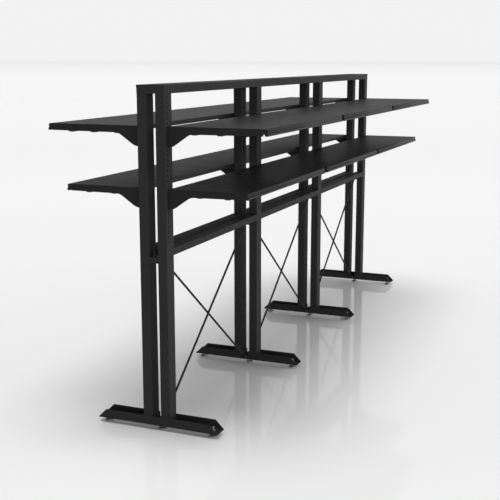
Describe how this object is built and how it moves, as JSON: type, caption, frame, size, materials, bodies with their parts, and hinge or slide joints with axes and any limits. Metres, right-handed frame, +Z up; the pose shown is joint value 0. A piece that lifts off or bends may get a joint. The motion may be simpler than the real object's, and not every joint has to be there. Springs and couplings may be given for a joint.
{
  "type": "double-sided cantilever shelving rack",
  "caption": "Free-standing double-sided rack of slotted tube frames with cantilever shelves at two heights on each side, crossed braces below and pointed channel feet on screw glides.",
  "frame": {"origin": "middle of the footprint, on the floor under the levelling glides", "axes": "+X along the length of the rack, +Y to its left side, +Z up"},
  "size_m": [3.624, 1.182, 1.727],
  "materials": {
    "frame_paint": "satin fine-textured powder coat, charcoal black",
    "shelf_paint": "satin fine-textured powder coat, charcoal black",
    "zinc_plate": "bright zinc plate"
  },
  "bodies": {
    "rack": {"post_1_left": "frame_paint", "post_1_right": "frame_paint", "foot_1": "frame_paint", "post_2_left": "frame_paint", "post_2_right": "frame_paint", "foot_2": "frame_paint", "post_3_left": "frame_paint", "post_3_right": "frame_paint", "foot_3": "frame_paint", "post_4_left": "frame_paint", "post_4_right": "frame_paint", "foot_4": "frame_paint", "top_rails_bay_1": "frame_paint", "mid_rails_bay_1": "frame_paint", "top_cap_bay_1": "frame_paint", "braces_bay_1": "frame_paint", "top_rails_bay_2": "frame_paint", "mid_rails_bay_2": "frame_paint", "top_cap_bay_2": "frame_paint", "braces_bay_2": "frame_paint", "top_rails_bay_3": "frame_paint", "mid_rails_bay_3": "frame_paint", "top_cap_bay_3": "frame_paint", "braces_bay_3": "frame_paint", "shelf_upper_left_bay_1": "shelf_paint", "shelf_upper_left_bay_2": "shelf_paint", "shelf_upper_left_bay_3": "shelf_paint", "brackets_upper_left": "shelf_paint", "stiffeners_upper_left": "shelf_paint", "shelf_upper_right_bay_1": "shelf_paint", "shelf_upper_right_bay_2": "shelf_paint", "shelf_upper_right_bay_3": "shelf_paint", "brackets_upper_right": "shelf_paint", "stiffeners_upper_right": "shelf_paint", "shelf_lower_left_bay_1": "shelf_paint", "shelf_lower_left_bay_2": "shelf_paint", "shelf_lower_left_bay_3": "shelf_paint", "brackets_lower_left": "shelf_paint", "stiffeners_lower_left": "shelf_paint", "shelf_lower_right_bay_1": "shelf_paint", "shelf_lower_right_bay_2": "shelf_paint", "shelf_lower_right_bay_3": "shelf_paint", "brackets_lower_right": "shelf_paint", "stiffeners_lower_right": "shelf_paint", "top_spacers": "frame_paint", "mid_cross_bars": "frame_paint", "glide_locknuts": "zinc_plate", "brace_bolts": "zinc_plate"},
    "glide_1_left": {"glide_1_left": "zinc_plate"},
    "glide_1_middle": {"glide_1_middle": "zinc_plate"},
    "glide_1_right": {"glide_1_right": "zinc_plate"},
    "glide_2_left": {"glide_2_left": "zinc_plate"},
    "glide_2_middle": {"glide_2_middle": "zinc_plate"},
    "glide_2_right": {"glide_2_right": "zinc_plate"},
    "glide_3_left": {"glide_3_left": "zinc_plate"},
    "glide_3_middle": {"glide_3_middle": "zinc_plate"},
    "glide_3_right": {"glide_3_right": "zinc_plate"},
    "glide_4_left": {"glide_4_left": "zinc_plate"},
    "glide_4_middle": {"glide_4_middle": "zinc_plate"},
    "glide_4_right": {"glide_4_right": "zinc_plate"}
  },
  "joints": [
    {"name": "glide_1_left_screw", "type": "slide", "parent": "rack", "child": "glide_1_left", "axis": [0, 0, -1], "range_m": [0, 0.012]},
    {"name": "glide_1_middle_screw", "type": "slide", "parent": "rack", "child": "glide_1_middle", "axis": [0, 0, -1], "range_m": [0, 0.012]},
    {"name": "glide_1_right_screw", "type": "slide", "parent": "rack", "child": "glide_1_right", "axis": [0, 0, -1], "range_m": [0, 0.012]},
    {"name": "glide_2_left_screw", "type": "slide", "parent": "rack", "child": "glide_2_left", "axis": [0, 0, -1], "range_m": [0, 0.012]},
    {"name": "glide_2_middle_screw", "type": "slide", "parent": "rack", "child": "glide_2_middle", "axis": [0, 0, -1], "range_m": [0, 0.012]},
    {"name": "glide_2_right_screw", "type": "slide", "parent": "rack", "child": "glide_2_right", "axis": [0, 0, -1], "range_m": [0, 0.012]},
    {"name": "glide_3_left_screw", "type": "slide", "parent": "rack", "child": "glide_3_left", "axis": [0, 0, -1], "range_m": [0, 0.012]},
    {"name": "glide_3_middle_screw", "type": "slide", "parent": "rack", "child": "glide_3_middle", "axis": [0, 0, -1], "range_m": [0, 0.012]},
    {"name": "glide_3_right_screw", "type": "slide", "parent": "rack", "child": "glide_3_right", "axis": [0, 0, -1], "range_m": [0, 0.012]},
    {"name": "glide_4_left_screw", "type": "slide", "parent": "rack", "child": "glide_4_left", "axis": [0, 0, -1], "range_m": [0, 0.012]},
    {"name": "glide_4_middle_screw", "type": "slide", "parent": "rack", "child": "glide_4_middle", "axis": [0, 0, -1], "range_m": [0, 0.012]},
    {"name": "glide_4_right_screw", "type": "slide", "parent": "rack", "child": "glide_4_right", "axis": [0, 0, -1], "range_m": [0, 0.012]}
  ]
}
